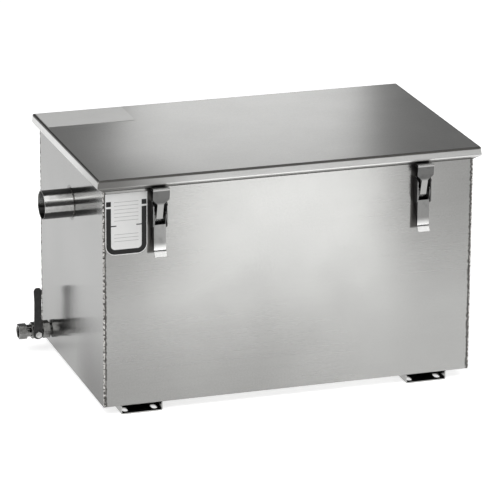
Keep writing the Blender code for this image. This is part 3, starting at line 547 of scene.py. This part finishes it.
def rolled_strip(name, colour, gloss=0.19, other=None, where=None, side_shade=0.0):
    """Cold-rolled strip, brushed up and down, with scuffs and grime, and painted shade on its sides that
    face along X.

    Where another colour is given, the function beside it says where that one shows.
    """
    look = Look(bpy.data.materials.new(name))
    place = look.place()
    fine = look.noise(look.scaled(place, STRIP_GRAIN), detail=3)
    scuff = look.noise(look.scaled(place, STRIP_SCUFFS), detail=4, roughness=0.65).step(0.35, 0.75)
    darkening = look.noise(place, scale=STRIP_GRIME, detail=3).step(0.5, 0.75)
    base = look.mix(darkening * 0.5, colour, toned(colour, 0.6))
    if other is not None:
        base = look.mix(where(place), base, other)
    rough = gloss + scuff * 0.08
    # painted shade on the sides that face along X
    if side_shade:
        shaded_side = abs(look.place("Normal").axis("X")).step(*FACING) * side_shade
        base = look.mix(shaded_side, base, PAINTED_DARK)
        rough = rough + shaded_side * 0.2
    return finish_look(look, Base_Color=base, Metallic=1.0, Roughness=rough,
                       Normal=look.bump(fine, 0.05 * mm))


def turned_tube(name):
    """Polished stub: fine rings around it smear its reflections along it, and painted dark reflections run
    along its top and underside.

    The tube lies along the Z axis of its own mesh, and its top is towards minus X.
    """
    look = Look(bpy.data.materials.new(name))
    place = look.place()
    rings = look.noise(look.scaled(place, TUBE_RINGS), detail=3)
    patch = look.noise(place, scale=TUBE_PATCHES, detail=3)
    below = place.axis("X") + (patch - 0.5) * HIGH_REFLECTION_FADE
    # painted dark reflections along the top and the underside
    dark_top_band = (-below).step(PIPE_HIGH_REFLECTION, PIPE_HIGH_REFLECTION + HIGH_REFLECTION_FADE) * 0.7
    darkening = below.step(PIPE_LOW_REFLECTION, PIPE_LOW_REFLECTION + LOW_REFLECTION_FADE).high(dark_top_band)
    base = look.mix(patch.step(0.3, 0.7), toned(PIPE_STEEL, 0.88), PIPE_STEEL)
    base = look.mix(darkening * 0.95, base, PAINTED_DARK)
    return finish_look(look, Base_Color=base, Metallic=1.0, Roughness=0.24 + darkening * 0.05, Anisotropic=1.0,
                       Anisotropic_Rotation=0.25, Normal=look.bump(rings, 0.006 * mm))


def lever_foot_highlight(place):
    """Painted highlight on the lever's foot."""
    return 1 - place.axis("Z").step(*LEVER_CHANGE)


def claw_highlights(place):
    """Painted highlight on the claw's neck, and on the roof of its hook."""
    height = place.axis("Z")
    return (1 - height.step(*CLAW_CHANGE)).high(height.step(*CLAW_ROOF))


def dark_nickel(name):
    """Nickel plate of the valve, nearly black where the room is dark, with a cast grain."""
    look = Look(bpy.data.materials.new(name))
    place = look.place()
    cast = look.noise(place, scale=CAST_GRAIN, detail=3)
    darkened_where = look.noise(place, scale=CAST_STAINS, detail=3).step(0.4, 0.7)
    base = look.mix(darkened_where, *NICKEL)
    return finish_look(look, Base_Color=base, Metallic=1.0, Roughness=0.12 + darkened_where * 0.1,
                       Normal=look.bump(cast, 0.03 * mm))


def coated_handle(name):
    """Dull grey coated strip, worn brighter in patches."""
    look = Look(bpy.data.materials.new(name))
    place = look.place()
    grain = look.noise(place, scale=COATING_GRAIN, detail=3)
    worn = look.noise(place, scale=COATING_WEAR, detail=4, roughness=0.7).step(0.5, 0.75)
    base = look.mix(worn, *COATING)
    return finish_look(look, Base_Color=base, Roughness=0.4 + worn * 0.16, Specular_IOR_Level=0.3,
                       Normal=look.bump(grain, 0.06 * mm))


# Other finishes

def foam_rubber(name):
    """Black closed-cell rubber of the gasket."""
    look = Look(bpy.data.materials.new(name))
    cells = look.noise(look.place(), scale=FOAM_CELLS, detail=2)
    base = look.mix(cells, *FOAM)
    return finish_look(look, Base_Color=base, Roughness=0.75 + cells * 0.15,
                       Normal=look.bump(cells, 0.15 * mm))


def seat_plastic(name):
    """White plastic of the valve's two seats."""
    look = Look(bpy.data.materials.new(name))
    haze = look.noise(look.place(), scale=SEAT_HAZE, detail=2)
    base = look.mix(haze, *SEAT)
    return finish_look(look, Base_Color=base, Roughness=0.35 + haze * 0.1,
                       Normal=look.bump(haze, 0.02 * mm))


def plate_print(name):
    """Rating plate: blank satin face with faint rules, and a dark border on its sides and bottom."""
    look = Look(bpy.data.materials.new(name))
    place = look.place()
    x, z = place.axes("XZ")
    middle = (PLATE_LOW[0] + PLATE_HIGH[0]) / 2
    half = (PLATE_HIGH[0] - PLATE_LOW[0]) / 2
    low = PLATE_LOW[2]
    beside = abs(x - middle)
    out = beside - (half - PLATE_CORNER)
    under = (low + PLATE_CORNER) - z
    round_part = (out.high(0) ** 2 + under.high(0) ** 2).root()
    depth = PLATE_CORNER - round_part - out.high(under).low(0)

    def between(value, start, end):
        return value.step(start - PRINT_SOFT, start) * (1 - value.step(end, end + PRINT_SOFT))

    height = z - low
    inward = half - beside
    leg = PLATE_MARGIN + PLATE_BORDER
    border = between(depth, PLATE_MARGIN, leg) * (1 - height.step(PLATE_LEGS, PLATE_LEGS + PRINT_SOFT))
    square = between(inward, PLATE_MARGIN, leg) * between(height, *PLATE_SQUARES)
    dash = between(inward, leg, leg + DASH_REACH) * between(height, PLATE_DASH, PLATE_DASH + DASH_HEIGHT)
    ink = border.high(square).high(dash)
    rules = sum(between(height, up, up + RULE_HEIGHT) for up in PLATE_RULES)
    rules = rules * (1 - beside.step(RULE_REACH, RULE_REACH + PRINT_SOFT))
    film = look.noise(place, scale=PLATE_FILM, detail=3)
    face = look.mix(rules * 0.6, look.mix(film, *PLATE_FACE), PLATE_RULE)
    base = look.mix(ink, face, PLATE_INK)
    return finish_look(look, Base_Color=base, Roughness=0.4 - ink * 0.1, Specular_IOR_Level=0.2,
                       Normal=look.bump(film, 0.03 * mm))


def sticker_paper(name):
    """Blank pale sticker, a little uneven where it is pressed on."""
    look = Look(bpy.data.materials.new(name))
    place = look.place()
    press = look.noise(place, scale=PAPER_PRESS, detail=3)
    fibre = look.noise(place, scale=PAPER_FIBRES, detail=2)
    base = look.mix(press, *PAPER)
    return finish_look(look, Base_Color=base, Roughness=0.5 + fibre * 0.1,
                       Normal=look.bump(press, 0.4 * mm, normal=look.bump(fibre, 0.01 * mm)))


def dress(look, *names):
    """Gives the nodes this material."""
    for name in names:
        for slot in nodes[name].material_slots:
            slot.material = look


# Pieces finer than the solids: weld beads with their ripples, round stubs, and a thread

def skin(name, rings, look, closed=False, sharp=180):
    """A mesh through rings of points; it is capped at its ends, or joined end to end.

    Edges that bend by more degrees than sharp stay crisp.
    """
    work = bmesh.new()
    loops = [[work.verts.new(point) for point in ring] for ring in rings]
    pairs = list(zip(loops, loops[1:]))
    if closed:
        pairs.append((loops[-1], loops[0]))
    else:
        work.faces.new(loops[0])
        work.faces.new(loops[-1])
    for near, far in pairs:
        for k in range(len(near)):
            m = (k + 1) % len(near)
            work.faces.new((near[k], near[m], far[m], far[k]))
    bmesh.ops.recalc_face_normals(work, faces=work.faces)
    mesh = bpy.data.meshes.new(name)
    work.to_mesh(mesh)
    work.free()
    mesh.shade_smooth()
    mesh.set_sharp_from_angle(angle=math.radians(sharp))
    mesh.materials.append(look)
    piece = bpy.data.objects.new(name, mesh)
    bpy.context.scene.collection.objects.link(piece)
    return piece


def ripple(run):
    """Bead's radius along its run, as a share: each pool of metal laps the one before."""
    pools = run / BEAD_RIPPLE
    swell = math.sin(math.pi * (pools % 1) ** RIPPLE_LEAN)
    drift = math.sin(DRIFT_TURNS[0] * pools) * math.sin(DRIFT_TURNS[1] * pools + 1)
    return (RIPPLE_LOW + RIPPLE_RISE * swell) * (1 + DRIFT * drift)


def upright_bead(name, centre, low, high, radius, outward, look):
    """A bead up a corner: a round front towards outward, and a flat back inside the corner."""
    count = round((high - low) / BEAD_RIPPLE) * STEPS_PER_RIPPLE
    rings = []
    for k in range(count + 1):
        run = (high - low) * k / count
        reach = radius * ripple(run)
        ring = [Vector((centre[0], centre[1], low + run))]
        for step in range(BEAD_STEPS + 1):
            angle = math.radians(outward + BEAD_ARC * (step / BEAD_STEPS - 0.5))
            ring.append(Vector((centre[0] + reach * math.cos(angle),
                                centre[1] + reach * math.sin(angle), low + run)))
        rings.append(ring)
    return skin(name, rings, look)


def pipe_bead(name, side, look):
    """A fillet bead around a stub where it meets the wall."""
    low, high = WELDS[side]
    pipe_low, pipe_high = PIPES[side]
    middle = (low + high) / 2
    pipe_radius = (pipe_high[2] - pipe_low[2]) / 2
    wall = high[0] if side == "inlet" else low[0]
    out = -1 if side == "inlet" else 1
    length = math.tau * (pipe_radius + PIPE_LEG / 2)
    count = round(length / BEAD_RIPPLE) * STEPS_PER_RIPPLE
    root = pipe_radius + BEAD_ROOT
    rings = []
    for k in range(count):
        turn = math.tau * k / count
        rise = (1 - LEG_CORE) * ripple(length * k / count)
        ring = []
        for step in range(PIPE_STEPS + 1):
            bow = math.radians(90 * step / PIPE_STEPS)
            reach = PIPE_LEG * min(LEG_CORE + rise * math.sin(bow), 1)
            proud = PIPE_LEG * min(LEG_CORE + rise * math.cos(bow), 1)
            radius = pipe_radius + reach
            ring.append(Vector((wall + out * proud, middle[1] + radius * math.cos(turn),
                                middle[2] + radius * math.sin(turn))))
        ring.append(Vector((wall, middle[1] + root * math.cos(turn), middle[2] + root * math.sin(turn))))
        rings.append(ring)
    return skin(name, rings, look, closed=True)


def pipe_stub(name, side, look):
    """A stub's tube, round where the solid has flats, with its cut edges broken."""
    low, high = PIPES[side]
    outer = (high[2] - low[2]) / 2
    bore = outer - PIPE_WALL
    end = (high[0] - low[0]) / 2
    outline = [(-end, bore + CUT_EDGE), (-end, outer - CUT_EDGE), (CUT_EDGE - end, outer),
               (end - CUT_EDGE, outer), (end, outer - CUT_EDGE), (end, bore + CUT_EDGE),
               (end - CUT_EDGE, bore), (CUT_EDGE - end, bore)]
    rings = []
    for k in range(PIPE_SIDES):
        turn = math.tau * k / PIPE_SIDES
        rings.append([Vector((radius * math.cos(turn), radius * math.sin(turn), along))
                      for along, radius in outline])
    stub = skin(name, rings, look, closed=True, sharp=30)
    stub.matrix_world = Matrix.Translation((low + high) / 2) @ Matrix.Rotation(math.radians(90), 4, "Y")
    return stub


def make_stubs(look):
    """Round tubes in place of the two stubs' solids."""
    for side in ("inlet", "outlet"):
        stub = pipe_stub(side + "_stub", side, look)
        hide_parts(side + "_pipe")
        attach(stub, "tank")


def inset(low, high, at_high, depth):
    """A place on one axis, a little in from the low or the high end."""
    return high - depth if at_high else low + depth


def make_beads(look, stub_look, lid_look):
    """Beads up the tank's corners, around the stubs, and up the lid's corners under its top edge."""
    for name, (high_x, high_y, outward) in CORNERS.items():
        node = "weld_" + name
        low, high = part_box(node)
        centre = (inset(LEFT_WALL, RIGHT_WALL, high_x, CORNER_INSET),
                  inset(FRONT_WALL, BACK_WALL, high_y, CORNER_INSET))
        bead = upright_bead("corner_bead_" + name, centre, low[2], high[2], CORNER_BEAD, outward, look)
        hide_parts(node)
        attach(bead, "tank")
    for side in ("inlet", "outlet"):
        bead = pipe_bead(side + "_bead", side, stub_look)
        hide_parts(side + "_weld")
        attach(bead, "tank")
    for name, (high_x, high_y, outward) in CORNERS.items():
        centre = (inset(LID_LOW[0], LID_HIGH[0], high_x, LID_INSET),
                  inset(LID_LOW[1], LID_HIGH[1], high_y, LID_INSET))
        bead = upright_bead("lid_bead_" + name, centre, LID_LOW[2] + LID_BEAD_FOOT,
                            LID_HIGH[2] - LID_BEAD_TOP, LID_BEAD, outward, lid_look)
        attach(bead, "lid")


def mouth_thread(look):
    """Pipe thread inside the drain valve's mouth: a ridge along a helix."""
    middle = (MOUTH_LOW + MOUTH_HIGH) / 2
    half = Vector((THREAD_HALF, 0, 0))
    rings = []
    for k in range(THREAD_TURNS * THREAD_SIDES + 1):
        turn = math.tau * k / THREAD_SIDES
        along = MOUTH_LOW[0] + THREAD_START + THREAD_PITCH * k / THREAD_SIDES
        out = Vector((0, math.cos(turn), math.sin(turn)))
        foot = Vector((along, middle[1], middle[2])) + out * THREAD_RADIUS
        rings.append([foot - half, foot - out * THREAD_DEPTH, foot + half])
    thread = skin("mouth_thread", rings, look)
    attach(thread, "tank")


def dress_sheets():
    """Tank, lid, feet and what is inside the tank."""
    dress(brushed("brushed_shell", "X", gloss=0.22, depth=0.009 * mm, darkened_where=front_stain_and_shade, smear=0.85,
                  turn=0.25, inside=inside_shell), "tank_shell")
    dress(brushed("brushed_ends", "Z", END_STEEL, gloss=0.1, depth=0.015 * mm, darkened_where=end_stain_and_shade,
                  smear=0.8, inside=inside_ends), "end_wall_left", "end_wall_right")
    dress(brushed("brushed_lid", "X", LID_STEEL, gloss=0.3, depth=0.025 * mm, darkened_where=lid_marks_and_shade,
                  paler=lid_flanges), "lid_shell")
    dress(brushed("brushed_inside", "X", INSIDE_STEEL, gloss=0.45),
          "inlet_baffle", "outlet_baffle", "solids_basket")
    dress(brushed("brushed_feet", "Y"), "foot_left", "foot_right")
    dress(brushed("brushed_rails", "Y", INSIDE_STEEL, gloss=0.45), "basket_rail_left", "basket_rail_right")
    dress(brushed("drawn_pipe", "X", PIPE_STEEL, gloss=0.03, depth=0.005 * mm), "dip_pipe")


def dress_latches():
    """Four toggle latches, of one strip, with painted highlights on the lever's foot, the claw's neck and
    the roof of its hook, and painted shade on the strip's sides.
    """
    strip = rolled_strip("latch_strip", STRIP, side_shade=0.95)
    lever = rolled_strip("lever_strip", STRIP, other=TIP_HIGHLIGHT, where=lever_foot_highlight, side_shade=0.95)
    claw = rolled_strip("claw_strip", CLAW, other=CLAW_HIGHLIGHT, where=claw_highlights, side_shade=0.95)
    for corner in CORNERS:
        dress(strip, "latch_base_" + corner, "latch_keeper_" + corner)
        dress(lever, "latch_lever_" + corner)
        dress(claw, "latch_claw_" + corner, "claw_pin_" + corner)


def dress_valve():
    """Drain valve, with the thread in its mouth."""
    nickel = dark_nickel("valve_nickel")
    dress(nickel, "drain_nipple", "valve_body", "valve_end", "gland_nut")
    mouth_thread(nickel)
    dress(rolled_strip("stem_steel", STEM_STEEL, gloss=0.32), "valve_ball", "valve_stem", "handle_nut")
    dress(coated_handle("coated_handle"), "valve_handle")
    dress(seat_plastic("seat_plastic"), "seat_inner", "seat_outer")


def dress_trims():
    """Gasket, rating plate and sticker."""
    dress(foam_rubber("foam_rubber"), "lid_gasket")
    dress(plate_print("plate_print"), "label_plate")
    dress(sticker_paper("sticker_paper"), "lid_label")


# Studio

def make_floor():
    """Pale floor that shows white to the camera and to metal, and keeps the trap's shadow."""
    bpy.ops.mesh.primitive_plane_add(size=FLOOR_SIZE)
    floor = bpy.context.object
    floor.name = "floor"
    look = Look(bpy.data.materials.new("floor_white"))
    seen = sum(look.node("LightPath", output=ray)
               for ray in ("Is Camera Ray", "Is Glossy Ray", "Is Transmission Ray")).low(1)
    glow = look.mix(seen, BLACK, WHITE)
    floor.data.materials.append(finish_look(look, Base_Color=FLOOR_PAINT, Roughness=0.9,
                                            Specular_IOR_Level=0.0, Emission_Color=glow,
                                            Emission_Strength=FLOOR_GLOW))


def make_room():
    """World: white to the camera, and a room with a dark front and pale sides to everything else."""
    world = bpy.data.worlds.new("room")
    bpy.context.scene.world = world
    look = Look(world)
    background = look.tree.nodes["Background"]
    x, y, z = look.place("Generated").axes()
    low_room = look.mix(y.step(*FRONT_TO_BACK), ROOM_FRONT, ROOM_BACK)
    room = look.mix(z.step(*LOW_TO_HIGH), low_room, ROOM_HIGH)
    room = look.mix(abs(x).step(*MIDDLE_TO_SIDE) * (1 - z.step(*SIDE_TO_HIGH)), room, ROOM_SIDE)
    seen = look.node("LightPath", output="Is Camera Ray")
    look.feed(background.inputs["Color"], look.mix(seen, room, WHITE))
    background.inputs["Strength"].default_value = 1.0


def softbox(name, place, aim, width, depth, watts):
    """A rectangular area lamp that the camera doesn't see."""
    lamp = bpy.data.lights.new(name, "AREA")
    lamp.shape = "RECTANGLE"
    lamp.size = width
    lamp.size_y = depth
    lamp.energy = watts
    item = bpy.data.objects.new(name, lamp)
    item.location = place
    item.rotation_euler = (Vector(aim) - Vector(place)).to_track_quat("-Z", "Y").to_euler()
    item.visible_camera = False
    bpy.context.scene.collection.objects.link(item)


def make_camera():
    """Camera at the photograph's angle: turned, tilted down, and rolled a little."""
    lens = bpy.data.cameras.new("camera")
    lens.lens = LENS
    lens.clip_end = FAR_CLIP
    camera = bpy.data.objects.new("camera", lens)
    bpy.context.scene.collection.objects.link(camera)
    turn = (Matrix.Rotation(-math.radians(CAMERA_YAW), 4, "Z")
            @ Matrix.Rotation(math.radians(90 - CAMERA_DOWN), 4, "X")
            @ Matrix.Rotation(math.radians(CAMERA_ROLL), 4, "Z"))
    camera.matrix_world = Matrix.Translation(CAMERA_PLACE) @ turn
    bpy.context.scene.camera = camera


dress_sheets()
make_stubs(turned_tube("turned_tube"))
dress_latches()
dress_valve()
dress_trims()
make_beads(bead_metal("bead_metal", *CORNER_METAL), bead_metal("stub_bead_metal", *STUB_METAL),
           bead_metal("lid_bead_metal", *LID_METAL))
make_floor()
make_room()
for lamp_values in LAMPS:
    softbox(*lamp_values)
make_camera()
bpy.context.scene.view_settings.view_transform = "Standard"
